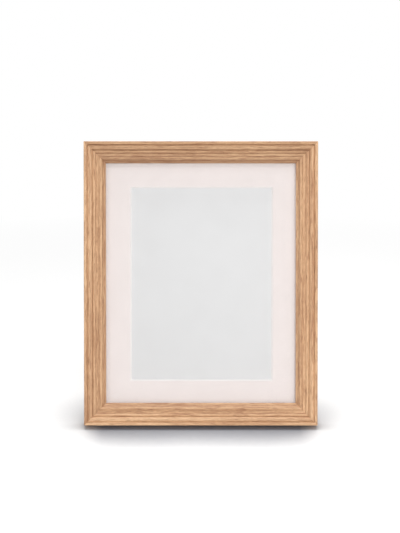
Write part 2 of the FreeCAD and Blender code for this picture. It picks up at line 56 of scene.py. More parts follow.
def finishMesh(bm, name):
    mesh = bpy.data.meshes.new(name)
    bm.to_mesh(mesh)
    bm.free()
    return mesh


def keep(mesh, name, body, material=None, replaces=(), smooth=30):
    # a finished mesh in row-frame metres becomes a piece that rides on its body
    piece = newObject(name, mesh)
    mesh.name = name
    if material and not mesh.materials:
        mesh.materials.append(material)
    mesh.shade_smooth()
    mesh.set_sharp_from_angle(angle=math.radians(smooth))
    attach(piece, body)
    if replaces:
        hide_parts(*replaces)


def evaluated(holder):
    # the modifiers' result as a plain mesh; the holder goes
    graph = bpy.context.evaluated_depsgraph_get()
    mesh = bpy.data.meshes.new_from_object(holder.evaluated_get(graph))
    holder.modifiers.clear()
    bpy.data.objects.remove(holder)
    return mesh


def feed(tree, socket, given):
    # sets an input to a value, or links it to another node's socket
    if isinstance(given, bpy.types.NodeSocket):
        tree.links.new(given, socket)
    else:
        socket.default_value = given


def add(tree, kind, inputs=None, **settings):
    # one node with its settings and inputs
    item = tree.nodes.new(kind)
    for key, setting in settings.items():
        setattr(item, key, setting)
    for key, given in (inputs or {}).items():
        feed(tree, item.inputs[key], given)
    return item


def calc(tree, kind, first, second=0.0):
    item = add(tree, "ShaderNodeMath", operation=kind)
    for socket, given in zip(item.inputs, (first, second)):
        feed(tree, socket, given)
    return item.outputs[0]


def nodeTree(name, inputs):
    # an empty Geometry Nodes tree with a geometry in and out and the named inputs
    tree = bpy.data.node_groups.new(name, "GeometryNodeTree")
    tree.interface.new_socket("Geometry", in_out="INPUT", socket_type="NodeSocketGeometry")
    for title, kind in inputs:
        tree.interface.new_socket(title, in_out="INPUT", socket_type="NodeSocket" + kind)
    tree.interface.new_socket("Geometry", in_out="OUTPUT", socket_type="NodeSocketGeometry")
    return tree, tree.nodes.new("NodeGroupInput"), tree.nodes.new("NodeGroupOutput")


def endTree(tree, geometry, finish, end):
    # realizes the instances, sets the material and closes the tree
    real = add(tree, "GeometryNodeRealizeInstances", {"Geometry": geometry})
    done = add(tree, "GeometryNodeSetMaterial", {"Geometry": real.outputs[0], "Material": finish})
    tree.links.new(done.outputs[0], end.inputs[0])
    return tree


def runTree(tree, mesh, values):
    # runs a tree on a mesh with its inputs set by identifier, and gives the plain mesh
    holder = newObject("holder", mesh)
    modifier = holder.modifiers.new("nodes", "NODES")
    modifier.node_group = tree
    for item in tree.interface.items_tree:
        if item.item_type == "SOCKET" and item.in_out == "INPUT" and item.name in values:
            modifier[item.identifier] = values[item.name]
    return evaluated(holder)


def arcThrough(start, middle, end, steps):
    # points after start, up to end, on the circle through the three
    (ax, ay), (bx, by), (cx, cy) = start, middle, end
    d = 2 * (ax * (by - cy) + bx * (cy - ay) + cx * (ay - by))
    ux = ((ax * ax + ay * ay) * (by - cy) + (bx * bx + by * by) * (cy - ay)
          + (cx * cx + cy * cy) * (ay - by)) / d
    uy = ((ax * ax + ay * ay) * (cx - bx) + (bx * bx + by * by) * (ax - cx)
          + (cx * cx + cy * cy) * (bx - ax)) / d
    a0 = math.atan2(ay - uy, ax - ux)
    turnOne = (math.atan2(by - uy, bx - ux) - a0) % (2 * math.pi)
    turnAll = (math.atan2(cy - uy, cx - ux) - a0) % (2 * math.pi)
    if turnOne > turnAll:
        turnAll -= 2 * math.pi
    radius = math.hypot(ax - ux, ay - uy)
    return [(ux + radius * math.cos(a0 + turnAll * n / steps),
             uy + radius * math.sin(a0 + turnAll * n / steps)) for n in range(1, steps + 1)]


def bevelEdges(mesh, width, angle=25, segments=2, flat=0.0):
    # softens every edge sharper than angle; faces that meet flatter than flat are joined first
    bm = bmesh.new()
    bm.from_mesh(mesh)
    bmesh.ops.remove_doubles(bm, verts=bm.verts, dist=width * 0.01)
    if flat:
        bmesh.ops.dissolve_limit(bm, angle_limit=math.radians(flat), verts=bm.verts, edges=bm.edges)
    sharp = [e for e in bm.edges if e.is_manifold and e.calc_face_angle() > math.radians(angle)]
    bmesh.ops.bevel(bm, geom=sharp, offset=width, segments=segments, profile=0.5,
                    affect="EDGES", clamp_overlap=True)
    bmesh.ops.recalc_face_normals(bm, faces=bm.faces)
    bm.to_mesh(mesh)
    bm.free()


def storePlace(mesh, shift=(0, 0, 0)):
    # keeps each point's upright place in mm, for patterns that follow the piece
    places = mesh.attributes.new("place", "FLOAT_VECTOR", "POINT")
    flat = []
    for vertex in mesh.vertices:
        flat += [a + b for a, b in zip(vertex.co, shift)]
    places.data.foreach_set("vector", flat)


def linear(red, green, blue):
    # a colour as it is picked on screen, 0 to 255, for the shaders
    parts = []
    for value in (red, green, blue):
        value /= 255
        parts.append(value / 12.92 if value <= 0.04045 else ((value + 0.055) / 1.055) ** 2.4)
    return (*parts, 1.0)


def grey(shade):
    return (shade, shade, shade, 1.0)


def bareMaterial(name):
    # an empty node tree and the surface input of its output
    material = bpy.data.materials.new(name)
    material.use_nodes = True
    tree = material.node_tree
    tree.nodes.clear()
    return material, tree, add(tree, "ShaderNodeOutputMaterial").inputs["Surface"]


def newMaterial(name):
    # the same with a Principled shader on it
    material, tree, surface = bareMaterial(name)
    shader = add(tree, "ShaderNodeBsdfPrincipled")
    tree.links.new(shader.outputs[0], surface)
    return material, tree, shader


def mixColour(tree, factor, first, second, blend="MIX"):
    item = add(tree, "ShaderNodeMix", data_type="RGBA", blend_type=blend)
    for number, given in ((0, factor), (6, first), (7, second)):
        feed(tree, item.inputs[number], given)
    return item.outputs[2]


def spread(tree, value, low, high, toLow=0.0, toHigh=1.0):
    return add(tree, "ShaderNodeMapRange", {"Value": value, "From Min": low, "From Max": high,
                                            "To Min": toLow, "To Max": toHigh}).outputs[0]


def weighed(tree, *parts):
    # the sum of (value, share) pairs
    total = None
    for value, share in parts:
        part = calc(tree, "MULTIPLY", value, share)
        total = calc(tree, "ADD", total, part) if total else part
    return total


def ramp(tree, value, stops):
    # a colour ramp through (place, colour) pairs, given in order
    item = add(tree, "ShaderNodeValToRGB", {"Fac": value})
    elements = item.color_ramp.elements
    for element, (spot, colour) in zip(elements, (stops[0], stops[-1])):
        element.position, element.color = spot, colour
    for spot, colour in stops[1:-1]:
        elements.new(spot).color = colour
    return item.outputs["Color"]


def noise(tree, vector, scale, detail=3.0, rough=0.55):
    return add(tree, "ShaderNodeTexNoise", {"Vector": vector, "Scale": scale, "Detail": detail,
                                            "Roughness": rough}).outputs["Fac"]


noiseSpan = (0.3, 0.7)  # where most of a noise's values lie


def stretched(tree, vector, scale, turn=(0, 0, 0)):
    return add(tree, "ShaderNodeMapping", {"Vector": vector, "Rotation": turn, "Scale": scale}).outputs[0]


def addBump(tree, shader, height, strength, distance):
    bump = add(tree, "ShaderNodeBump", {"Height": height, "Strength": strength, "Distance": distance})
    tree.links.new(bump.outputs[0], shader.inputs["Normal"])


def sightRays(tree):
    # 1 for what the camera sees, straight, in a mirror or through glass
    rays = add(tree, "ShaderNodeLightPath")
    return calc(tree, "MAXIMUM", rays.outputs["Is Camera Ray"],
                calc(tree, "MAXIMUM", rays.outputs["Is Glossy Ray"], rays.outputs["Is Transmission Ray"]))


# Camera: a metre and a half away, a touch above the square view of the glass.

cameraPlace = {"x": -0.0004, "y": -1.4479, "z": 0.5603, "down": 15.534, "turn": 0.018, "lens": 100.06,
               "reach": 60}
camera = newObject("camera", bpy.data.cameras.new("camera"))
bpy.context.scene.camera = camera
camera.location = (cameraPlace["x"], cameraPlace["y"], cameraPlace["z"])
camera.rotation_euler = (math.radians(90 - cameraPlace["down"]), 0, math.radians(cameraPlace["turn"]))
camera.data.lens = cameraPlace["lens"]
camera.data.clip_end = cameraPlace["reach"]
print("camera is up")

# Floor, world and lamps.

studio = {
    "world": 0.24, "floorSize": 12.0, "floorCells": 24, "floorTone": 0.78, "floorGlow": 1.3,
    "fadeFrom": 0.3, "fadeTo": 0.9,
    # the painted shadow under the frame, taken from ambient occlusion: its reach, range, tint, and where and
    # how it weakens at the sides
    "paintedShadowReach": 0.1, "paintedShadowDark": 0.42, "paintedShadowLight": 0.95, "paintedShadowCurve": 3.0, "paintedShadowSamples": 16,
    "paintedShadowTint": (0.3, 0.32, 0.37), "paintedShadowSideFrom": 0.1, "paintedShadowSideTo": 0.124, "paintedShadowSideShare": 0.4,
}


def makeFloor():
    # a pale sheet that keeps the frame's shadow from the lamps, adds a painted shadow under and around the
    # frame for what the camera sees, and runs out into white
    bm = bmesh.new()
    cells = studio["floorCells"]
    bmesh.ops.create_grid(bm, x_segments=cells, y_segments=cells, size=studio["floorSize"])
    mesh = finishMesh(bm, "floor")
    floor = newObject("floor", mesh)
    material, tree, surface = bareMaterial("paleFloor")
    place = add(tree, "ShaderNodeTexCoord").outputs["Object"]
    far = add(tree, "ShaderNodeVectorMath", {0: place}, operation="LENGTH").outputs["Value"]
    fade = spread(tree, far, studio["fadeFrom"], studio["fadeTo"])
    tone = studio["floorTone"]
    plain = add(tree, "ShaderNodeBsdfDiffuse", {"Color": grey(tone)})
    # painted shadow: ambient occlusion darkens the floor's colour to a bluish grey under and around the
    # frame, less beside it
    paintedShadow = add(tree, "ShaderNodeAmbientOcclusion", {"Distance": studio["paintedShadowReach"]},
               samples=studio["paintedShadowSamples"]).outputs["AO"]
    depth = calc(tree, "POWER", spread(tree, paintedShadow, studio["paintedShadowDark"], studio["paintedShadowLight"]),
                 studio["paintedShadowCurve"])
    aside = calc(tree, "ABSOLUTE", add(tree, "ShaderNodeSeparateXYZ", {0: place}).outputs["X"])
    share = spread(tree, aside, studio["paintedShadowSideFrom"], studio["paintedShadowSideTo"], 1.0, studio["paintedShadowSideShare"])
    depth = calc(tree, "SUBTRACT", 1.0, calc(tree, "MULTIPLY", calc(tree, "SUBTRACT", 1.0, depth), share))
    dark = tuple(tone * part for part in studio["paintedShadowTint"]) + (1,)
    lit = mixColour(tree, depth, dark, grey(tone * studio["floorGlow"]))
    lifted = add(tree, "ShaderNodeBsdfDiffuse", {"Color": lit})
    white = add(tree, "ShaderNodeEmission", {"Strength": 1.0})
    seen = add(tree, "ShaderNodeMixShader", {0: fade, 1: lifted.outputs[0], 2: white.outputs[0]})
    both = add(tree, "ShaderNodeMixShader", {0: sightRays(tree), 1: plain.outputs[0], 2: seen.outputs[0]})
    tree.links.new(both.outputs[0], surface)
    mesh.materials.append(material)


def makeWorld():
    world = bpy.data.worlds.new("studio")
    bpy.context.scene.world = world
    world.use_nodes = True
    tree = world.node_tree
    tree.nodes.clear()
    out = add(tree, "ShaderNodeOutputWorld")
    soft = add(tree, "ShaderNodeBackground", {"Color": grey(1.0), "Strength": studio["world"]})
    white = add(tree, "ShaderNodeBackground", {"Color": grey(1.0), "Strength": 1.0})
    both = add(tree, "ShaderNodeMixShader", {0: sightRays(tree), 1: soft.outputs[0], 2: white.outputs[0]})
    tree.links.new(both.outputs[0], out.inputs["Surface"])


lamps = {
    # the front lamp is small and bright, and the glass would mirror it as a hard patch
    "front": {"place": (0.35, -1.5, 0.6), "aim": (0, 0, 0.14), "size": (1.0, 0.35), "watts": 10.0,
              "mirrored": False},
    "over": {"place": (-0.2, -0.9, 1.9), "aim": (0, 0, 0.14), "size": (1.3, 0.8), "watts": 10.5},
    "left": {"place": (-1.35, -1.25, 0.75), "aim": (0, 0, 0.15), "size": (0.9, 0.9), "watts": 2.4},
    "right": {"place": (1.35, -1.25, 0.95), "aim": (0, 0, 0.17), "size": (0.9, 0.9), "watts": 3.2},
    "above": {"place": (0.05, 0.3, 1.5), "aim": (0, 0, 0.0), "size": (0.9, 0.7), "watts": 15.0},
}


def makeLamps():
    for name, lamp in lamps.items():
        data = bpy.data.lights.new(name, "AREA")
        data.shape = "RECTANGLE"
        data.size, data.size_y = lamp["size"]
        data.energy = lamp["watts"]
        item = newObject(name, data)
        item.location = lamp["place"]
        look = Vector(lamp["aim"]) - Vector(lamp["place"])
        item.rotation_euler = look.to_track_quat("-Z", "Y").to_euler()
        item.visible_glossy = lamp.get("mirrored", True)


makeFloor()
makeWorld()
makeLamps()
bpy.context.scene.view_settings.view_transform = "Standard"
print("floor, world and lamps are set")

# Oak: open-grained, under a clear matt lacquer.

oak = {
    "pale": (230, 191, 151), "mid": (208, 166, 129), "deep": (178, 134, 101), "pore": (134, 94, 68),
    "toneSpots": (0.18, 0.52, 0.92), "roughness": 0.46, "specular": 0.35,
    # painted shade in the moulding's quirks and cove: its share, its colour, and how much more it gets on the
    # rails with painted shade
    "paintedCreaseShade": 0.5, "paintedCreaseTone": (196, 180, 172), "paintedCreaseByRail": (0.75, 1.6),
    # painted shade for whole rails: the colour they are darkened towards and its share
    "tan": (228, 224, 220), "tanShare": 0.6,
    # growth rings: width in mm, slope through the rail, wander in mm, darkness from one to the next
    "ringWidth": 3.1, "ringSlope": (0.86, 0.51), "swayReach": 16.0, "shakeReach": 3.2,
    "ringTones": ((0.0, 0.15), (0.08, 1.0), (0.34, 0.72), (0.62, 0.2), (1.0, 0.1)),
    # each pattern's pitch along and across the grain per mm, its detail and its roughness
    "sway": (0.012, 0.09, 2.0, 0.55), "shake": (0.05, 0.35, 3.0, 0.55), "broad": (0.006, 0.11, 2.0, 0.55),
    "streak": (0.045, 0.95, 3.0, 0.62), "fine": (0.11, 2.2, 2.0, 0.6), "fleck": (0.06, 1.0, 1.0, 0.55),
    "dash": (0.13, 4.2, 1.0, 0.55),
    # the span of a pattern that shows, and what it gives where that isn't 0 to 1
    "streakSpan": (0.34, 0.66), "fleckSpan": (0.69, 0.76), "dashSpan": (0.57, 0.66),
    "broadSpan": (0.35, 0.65, -0.14, 0.16), "poreSpan": (0.1, 0.8, 0.15, 0.8), "glossRange": (-0.05, 0.05),
    # shares in the tone, the gloss and the relief
    "ringShare": 0.26, "streakShare": 0.38, "fineShare": 0.4, "fleckShare": 0.45, "poreGloss": 0.2,
    "fineRelief": -0.25, "poreRelief": 0.7, "bump": 0.5, "bumpDepth": 0.00012,
}


def makeOak():
    material, tree, shader = newMaterial("oiledOak")
    place = add(tree, "ShaderNodeAttribute", attribute_name="place").outputs["Vector"]

    def grain(name, source=place):
        along, across, detail, rough = oak[name]
        return noise(tree, stretched(tree, source, (along, across, across)), 1.0, detail, rough)

    sway, shake = grain("sway"), grain("shake")
    split = add(tree, "ShaderNodeSeparateXYZ", {0: place})
    up, through = oak["ringSlope"]
    level = weighed(tree, (split.outputs["Z"], up), (split.outputs["Y"], through),
                    (sway, oak["swayReach"]), (shake, oak["shakeReach"]))
    ring = calc(tree, "FRACT", calc(tree, "DIVIDE", level, oak["ringWidth"]))
    early = ramp(tree, ring, [(spot, grey(shade)) for spot, shade in oak["ringTones"]])
    # streaks and fine grain bend with the rings
    bend = add(tree, "ShaderNodeCombineXYZ", {"Y": shake, "Z": shake}).outputs[0]
    reach = (0, oak["shakeReach"], oak["shakeReach"])
    bent = add(tree, "ShaderNodeVectorMath", {0: bend, 1: reach, 2: place},
               operation="MULTIPLY_ADD").outputs[0]
    streak = spread(tree, grain("streak", bent), *oak["streakSpan"])
    fine = grain("fine", bent)
    fleck = spread(tree, grain("fleck"), *oak["fleckSpan"])
    tone = weighed(tree, (early, oak["ringShare"]), (streak, oak["streakShare"]),
                   (spread(tree, fine, *noiseSpan), oak["fineShare"]), (fleck, oak["fleckShare"]))
    tone = calc(tree, "ADD", tone, spread(tree, grain("broad"), *oak["broadSpan"]))
    colour = ramp(tree, tone, [(spot, linear(*oak[name]))
                               for spot, name in zip(oak["toneSpots"], ("pale", "mid", "deep"))])
    pores = calc(tree, "MULTIPLY", spread(tree, grain("dash"), *oak["dashSpan"]),
                 spread(tree, early, *oak["poreSpan"]))
    colour = mixColour(tree, pores, colour, linear(*oak["pore"]))
    gloss = calc(tree, "ADD", spread(tree, fine, *noiseSpan, *oak["glossRange"]),
                 calc(tree, "ADD", calc(tree, "MULTIPLY", pores, oak["poreGloss"]), oak["roughness"]))
    tree.links.new(gloss, shader.inputs["Roughness"])
    # the across attribute: place across the rail in X, 1 on the moulded face in Y, the rail's painted shade
    # in Z
    across = add(tree, "ShaderNodeAttribute", attribute_name="across").outputs["Vector"]
    split = add(tree, "ShaderNodeSeparateXYZ", {0: across})
    # painted shade: the colour darkens in the quirks and cove of the moulded face, more on the rails with
    # painted shade
    paintedCreaseShade = ramp(tree, calc(tree, "DIVIDE", split.outputs["X"], rail["width"]),
                  [(spot / rail["width"], grey(shade)) for spot, shade in paintedCreaseShades])
    onFace = calc(tree, "MULTIPLY", paintedCreaseShade, split.outputs["Y"])
    onFace = calc(tree, "MULTIPLY", onFace, spread(tree, split.outputs["Z"], 0, 1, *oak["paintedCreaseByRail"]))
    colour = mixColour(tree, calc(tree, "MULTIPLY", onFace, oak["paintedCreaseShade"]), colour,
                       linear(*oak["paintedCreaseTone"]), "MULTIPLY")
    # painted shade: the top rail, and a little the left one, made darker as if turned away from the light
    colour = mixColour(tree, calc(tree, "MULTIPLY", split.outputs["Z"], oak["tanShare"]), colour,
                       linear(*oak["tan"]), "MULTIPLY")
    tree.links.new(colour, shader.inputs["Base Color"])
    relief = calc(tree, "SUBTRACT", calc(tree, "MULTIPLY", fine, oak["fineRelief"]),
                  calc(tree, "MULTIPLY", pores, oak["poreRelief"]))
    addBump(tree, shader, relief, oak["bump"], oak["bumpDepth"])
    shader.inputs["Specular IOR Level"].default_value = oak["specular"]
    return material


# The moulding: one profile swept along each rail and mitred at both ends.

rail = {
    "width": 22.7, "depth": 19.0, "round": 0.8, "rebateDepth": 7.9, "lip": 2.5, "back": 15.6,
    "steps": 48, "arcSteps": 7, "roundSteps": 4, "softEdge": 0.12, "nailShow": 0.03, "faceDepth": 9,
    # from the outer edge in: share of the width and of the fall, and an arc's middle
    "faceShares": (
        (0.128, 0.0), (0.141, 0.221), (0.154, 0.221), (0.370, 0.385, 0.240, 0.135), (0.379, 0.500),
        (0.511, 0.535, 0.441, 0.436), (0.520, 0.640), (0.656, 0.546, 0.599, 0.622), (0.665, 0.594),
        (0.806, 0.628, 0.731, 0.505), (0.815, 0.767), (0.936, 0.954, 0.866, 0.884), (0.96, 1.0),
    ),
    # where each rail's grain is cut from the board: this share of its start along, through and across
    "cutShares": (1.0, 0.37, 0.21),
}

# (place across, darkness) of painted shade in the quirks and the inner cove, from the outer edge in
paintedCreaseShades = (
    (0.0, 0.0), (2.6, 0.0), (3.1, 0.6), (3.6, 0.6), (4.3, 0.1), (8.0, 0.1), (8.5, 1.0), (8.7, 0.9),
    (9.4, 0.05), (11.3, 0.1), (11.8, 0.9), (12.3, 0.5), (13.0, 0.05), (14.6, 0.2), (15.0, 0.8), (15.4, 0.5),
    (16.2, 0.0), (18.1, 0.2), (18.4, 1.0), (18.9, 0.9), (20.2, 0.75), (22.0, 0.75), (22.7, 0.5),
)


def railProfile():
    # (in from the outer edge, forward from the back plane), a hair short so that the nails' ends show
    front = rail["depth"]
    edge = rail["round"]
    points = [(0.0, rail["nailShow"])]
    for n in range(rail["roundSteps"] + 1):
        turn = math.pi / 2 * n / rail["roundSteps"]
        points.append((edge - edge * math.cos(turn), front - edge + edge * math.sin(turn)))
    fall = front - rail["rebateDepth"] - rail["lip"]
    for shares in rail["faceShares"]:
        end = (rail["width"] * shares[0], front - fall * shares[1])
        if len(shares) == 2:
            points.append(end)
        else:
            middle = (rail["width"] * shares[2], front - fall * shares[3])
            points += arcThrough(points[-1], middle, end, rail["arcSteps"])
    return points + [(points[-1][0], rail["rebateDepth"]), (rail["back"], rail["rebateDepth"]),
                     (rail["back"], rail["nailShow"])]


def makeProfileCurve():
    # on a line along X the sweep puts the curve's x at minus Y and its y at minus Z
    points = railProfile()
    data = bpy.data.curves.new("railProfile", "CURVE")
    data.dimensions = "3D"
    spline = data.splines.new("POLY")
    spline.points.add(len(points) - 1)
    for point, (across, forward) in zip(spline.points, points):
        point.co = (forward, -across, 0, 1)
    spline.use_cyclic_u = True
    return newObject("railProfile", data)


def mouldingTree():
    # sweeps the profile along X and pulls both ends in by the distance from the outer edge
    tree, start, end = nodeTree("moulding", (("Profile", "Object"), ("Length", "Float"), ("Steps", "Int"),
                                             ("Finish", "Material")))
    half = calc(tree, "MULTIPLY", start.outputs["Length"], 0.5)
    minus = calc(tree, "MULTIPLY", half, -1.0)
    line = add(tree, "GeometryNodeCurvePrimitiveLine",
               {"Start": add(tree, "ShaderNodeCombineXYZ", {"X": minus}).outputs[0],
                "End": add(tree, "ShaderNodeCombineXYZ", {"X": half}).outputs[0]})
    cut = add(tree, "GeometryNodeResampleCurve", {"Curve": line.outputs[0], "Count": start.outputs["Steps"]})
    profile = add(tree, "GeometryNodeObjectInfo", {"Object": start.outputs["Profile"]})
    swept = add(tree, "GeometryNodeCurveToMesh",
                {"Curve": cut.outputs[0], "Profile Curve": profile.outputs["Geometry"], "Fill Caps": True})
    place = add(tree, "ShaderNodeSeparateXYZ", {0: add(tree, "GeometryNodeInputPosition").outputs[0]})
    inner = calc(tree, "SUBTRACT", half, place.outputs["Z"])
    along = calc(tree, "MULTIPLY", calc(tree, "DIVIDE", place.outputs["X"], half), inner)
    pulled = add(tree, "ShaderNodeCombineXYZ",
                 {"X": along, "Y": place.outputs["Y"], "Z": place.outputs["Z"]})
    mitred = add(tree, "GeometryNodeSetPosition",
                 {"Geometry": swept.outputs[0], "Position": pulled.outputs[0]})
    return endTree(tree, mitred.outputs[0], start.outputs["Finish"], end)


oakWood = makeOak()
print("oak is mixed")


def makeRails():
    profile = makeProfileCurve()
    tree = mouldingTree()
    wide, high = outer["width"], outer["height"]
    # length, outer edge's middle and turn, where the grain starts, how much painted shade the rail gets
    sides = {
        "bottom": (wide, (0, 0, 0), 0.0, 0.0),
        "top": (wide, (0, high, 180), 310.0, 1.0),
        "left": (high, (-wide / 2, high / 2, 90), 640.0, 0.25),
        "right": (high, (wide / 2, high / 2, -90), 990.0, 0.0),
    }
    for side, (length, (x, z, turn), start, tan) in sides.items():
        mesh = runTree(tree, bpy.data.meshes.new("seed"),
                       {"Profile": profile, "Length": length, "Steps": rail["steps"], "Finish": oakWood})
        bevelEdges(mesh, rail["softEdge"])
        storePlace(mesh, [start * share for share in rail["cutShares"]])
        across = mesh.attributes.new("across", "FLOAT_VECTOR", "POINT")
        flat = []
        for vertex in mesh.vertices:
            flat += [vertex.co.z, 1.0 if vertex.co.y < -rail["faceDepth"] else 0.0, tan]
        across.data.foreach_set("vector", flat)
        place = Matrix.Translation((x, 0, z)) @ Matrix.Rotation(math.radians(turn), 4, "Y")
        mesh.transform(leanBack @ place)
        keep(mesh, "oak_" + side, "frame", None, [side + "_rail"], smooth=24)
    bpy.data.objects.remove(profile)


makeRails()
print("rails are swept and mitred")

# Behind the glass: window mat and blank sheet.

pack = {"width": 203.2, "height": 254.0, "right": 0.7, "bottom": 15.6, "matFront": -5.9, "matThick": 1.4,
        "windowWidth": 142.0, "windowHeight": 194.8, "sheetWidth": 152.4, "sheetHeight": 203.2,
        "sheetThick": 0.3, "sheetSoft": 0.05, "sheetCut": 400}
paper = {
    # colour, mottle and relief
    "face": ((243, 234, 232), 3, 0.35), "core": ((247, 242, 241), 2, 0.2),
    "sheet": ((232, 232, 233), 3, 0.25),
    # scale, detail and roughness of the patterns, and their shares in the tone
    "cloud": (0.05, 3.0, 0.55), "fibre": (1.6, 4.0, 0.65), "cloudShare": 0.6, "fibreShare": 0.4,
    "palerShare": 0.6, "roughness": 0.86, "specular": 0.2, "bumpDepth": 0.00004,
}


def makePaper(name, colour, mottle, relief):
    material, tree, shader = newMaterial(name)
    place = add(tree, "ShaderNodeAttribute", attribute_name="place").outputs["Vector"]
    cloud = noise(tree, place, *paper["cloud"])
    fibre = noise(tree, place, *paper["fibre"])
    low = linear(*[part - mottle for part in colour])
    high = linear(*[min(255, part + mottle * paper["palerShare"]) for part in colour])
    tone = calc(tree, "ADD", spread(tree, cloud, *noiseSpan, 0.0, paper["cloudShare"]),
                spread(tree, fibre, *noiseSpan, 0.0, paper["fibreShare"]))
    tree.links.new(mixColour(tree, tone, low, high), shader.inputs["Base Color"])
    addBump(tree, shader, fibre, relief, paper["bumpDepth"])
    shader.inputs["Roughness"].default_value = paper["roughness"]
    shader.inputs["Specular IOR Level"].default_value = paper["specular"]
    return material


matFace = makePaper("ivoryMatFace", *paper["face"])
matCore = makePaper("whiteMatCore", *paper["core"])
sheetPaper = makePaper("blankSheet", *paper["sheet"])


def makeMat():
    # board with a window whose cut slopes at 45 degrees through a white core
    thick = pack["matThick"]
    middle = (pack["right"], pack["bottom"] + pack["height"] / 2)
    front, back = pack["matFront"], pack["matFront"] + thick
    rings = []
    for halfWide, halfHigh, depth in (
            (pack["width"] / 2, pack["height"] / 2, back), (pack["width"] / 2, pack["height"] / 2, front),
            (pack["windowWidth"] / 2 + thick, pack["windowHeight"] / 2 + thick, front),
            (pack["windowWidth"] / 2, pack["windowHeight"] / 2, back)):
        rings.append([(middle[0] + x * halfWide, depth, middle[1] + z * halfHigh)
                      for x, z in ((-1, -1), (1, -1), (1, 1), (-1, 1))])
    bm = bmesh.new()
    loops = [[bm.verts.new(point) for point in ring] for ring in rings]
    for number in range(4):
        one, two = loops[number], loops[(number + 1) % 4]
        for side in range(4):
            face = bm.faces.new((one[side], one[(side + 1) % 4], two[(side + 1) % 4], two[side]))
            face.material_index = 1 if number == 2 else 0  # the third band is the cut
    bmesh.ops.recalc_face_normals(bm, faces=bm.faces)
    mesh = finishMesh(bm, "mat")
    mesh.materials.append(matFace)
    mesh.materials.append(matCore)
    storePlace(mesh)
    mesh.transform(leanBack)
    keep(mesh, "mat_board", "frame", None, ["window_mat"], smooth=20)


def makeSheet():
    # plain paper, flat against the back of the mat
    front = pack["matFront"] + pack["matThick"]
    bm = bmesh.new()
    bmesh.ops.create_cube(bm, size=1.0)
    for vertex in bm.verts:
        x, y, z = vertex.co
        vertex.co = (pack["right"] + x * pack["sheetWidth"], front + (y + 0.5) * pack["sheetThick"],
                     pack["bottom"] + pack["height"] / 2 + z * pack["sheetHeight"])
    mesh = finishMesh(bm, "sheet")
    bevelEdges(mesh, pack["sheetSoft"])
    storePlace(mesh, (pack["sheetCut"], 0, 0))
    mesh.transform(leanBack)
    keep(mesh, "blank_sheet", "frame", sheetPaper, ["certificate_sheet"])


makeMat()
makeSheet()
print("mat and sheet are in")

# Glass: clear float, 2 mm.

glass = {"tint": (0.985, 0.985, 0.983), "ior": 1.5, "roughness": 0.015, "wave": 14.0, "bump": 0.04,
         "bumpDepth": 0.0004}


def makeGlass():
    # rays go straight through, so the Fresnel node's own turn of the index inside the pane is undone
    material, tree, surface = bareMaterial("clearGlass")
    clear = add(tree, "ShaderNodeBsdfTransparent", {"Color": (*glass["tint"], 1)})
    shine = add(tree, "ShaderNodeBsdfGlossy", {"Roughness": glass["roughness"]})
    wave = noise(tree, add(tree, "ShaderNodeTexCoord").outputs["Object"], glass["wave"], 1.0)
    addBump(tree, shine, wave, glass["bump"], glass["bumpDepth"])
    behind = add(tree, "ShaderNodeNewGeometry").outputs["Backfacing"]
    index = spread(tree, behind, 0, 1, glass["ior"], 1 / glass["ior"])
    edge = add(tree, "ShaderNodeFresnel", {"IOR": index})
    both = add(tree, "ShaderNodeMixShader", {0: edge.outputs[0], 1: clear.outputs[0], 2: shine.outputs[0]})
    tree.links.new(both.outputs[0], surface)
    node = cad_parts["glazing_pane"]
    node.data.materials.clear()
    node.data.materials.append(material)


makeGlass()
print("glass is in")

# Finishes for the metal, the card and the fibreboard.

steel = {"colour": (205, 205, 200), "darker": 26, "roughness": 0.3, "roughRange": (-0.06, 0.08),
         "brush": (6000, 900, 300), "lines": (1.0, 3.0, 0.6), "cloud": (180.0, 3.0), "bump": 0.5,
         "bumpDepth": 0.00002}
felt = {
    # colour and fleck
    "board": ((134, 96, 62), (86, 58, 36)), "card": ((176, 168, 152), (120, 112, 98)),
    # the fibres' size per m and the ways they lie; scale and detail of the patterns
    "hair": (1700, 900, 210), "hairTurns": (0.3, 1.35, 2.4), "strands": (1.0, 2.0, 0.6),
    "swirl": {"Scale": 55.0, "Detail": 2.0}, "swirlShift": 0.012, "cloud": (26.0, 4.0), "grit": (1500.0, 2.0),
    # the span of a pattern that shows and what it gives
    "hairTone": (0.5, 0.76, 0, 0.75), "cloudRange": (0, 0.25), "gritMarks": (0.6, 0.7, 0, 0.4),
    "gapMarks": (0.3, 0.38, 0.45, 0.0), "hairGloss": (0.45, 0.75, 0.78, 0.6),
    "darker": 0.78, "paler": 1.14, "gritRelief": 0.5, "bump": 0.35, "bumpDepth": 0.0001, "specular": 0.3,
}


def makeZinc():
    # bright plated steel with faint brush lines
    material, tree, shader = newMaterial("brightZinc")
    place = add(tree, "ShaderNodeTexCoord").outputs["Object"]
    upright = stretched(tree, place, (1, 1, 1), (math.radians(stand["lean"]), 0, 0))
    lines = noise(tree, stretched(tree, upright, steel["brush"]), *steel["lines"])
    cloud = noise(tree, upright, *steel["cloud"])
    dark = linear(*[part - steel["darker"] for part in steel["colour"]])
    tone = mixColour(tree, spread(tree, cloud, *noiseSpan), dark, linear(*steel["colour"]))
    tree.links.new(tone, shader.inputs["Base Color"])
    rough = calc(tree, "ADD", spread(tree, cloud, *noiseSpan, *steel["roughRange"]), steel["roughness"])
    tree.links.new(rough, shader.inputs["Roughness"])
    addBump(tree, shader, lines, steel["bump"], steel["bumpDepth"])
    shader.inputs["Metallic"].default_value = 1.0
    return material


